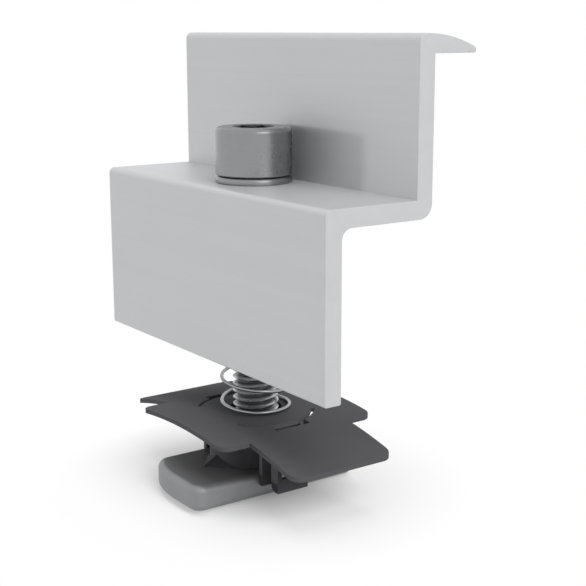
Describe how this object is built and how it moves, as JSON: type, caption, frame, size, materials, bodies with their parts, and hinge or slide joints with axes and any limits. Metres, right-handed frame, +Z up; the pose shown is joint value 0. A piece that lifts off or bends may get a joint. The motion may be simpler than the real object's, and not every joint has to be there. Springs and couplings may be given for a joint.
{
  "type": "solar end clamp",
  "caption": "Spring-raised Z-section end clamp with a cap screw, moulded rail clip and slot nut for holding a solar module to a channel rail.",
  "frame": {"origin": "on the screw's axis, in the plane of the slot nut's top face, which pulls up against the rail's lips", "axes": "+Z up along the screw towards its head, +Y towards the module and under the lip, +X along the extruded profile and the rail's slot"},
  "size_m": [0.0674, 0.036, 0.0783],
  "materials": {
    "profile_aluminium": "satin mill finish",
    "screw_steel": "satin stainless",
    "washer_steel": "satin stainless",
    "spring_steel": "drawn wire",
    "clip_plastic": "matte moulded, dark grey",
    "nut_metal": "matt cast, soft edges"
  },
  "bodies": {
    "rail_unit": {"slot_nut": "nut_metal", "rail_clip": "clip_plastic", "spring": "spring_steel"},
    "washer": {"lock_washer": "washer_steel"},
    "screw": {"cap_screw": "screw_steel"},
    "clamp": {"clamp_profile": "profile_aluminium"}
  },
  "joints": [
    {"name": "clamp_travel", "type": "slide", "parent": "rail_unit", "child": "washer", "axis": [0, 0, 1], "range_m": [-0.0095, 0], "deforming": ["spring"]},
    {"name": "screw_turn", "type": "hinge", "parent": "washer", "child": "screw", "pos_m": [0, 0, 0.0498], "axis": [0, 0, 1], "range_deg": [-2736, 0]},
    {"name": "clamp_swivel", "type": "hinge", "parent": "washer", "child": "clamp", "pos_m": [0, 0, 0.0485], "axis": [0, 0, 1], "continuous": true}
  ],
  "couplings": [
    {"joint": "screw_turn", "follows": "clamp_travel", "rad_per_m": 5026.5}
  ]
}
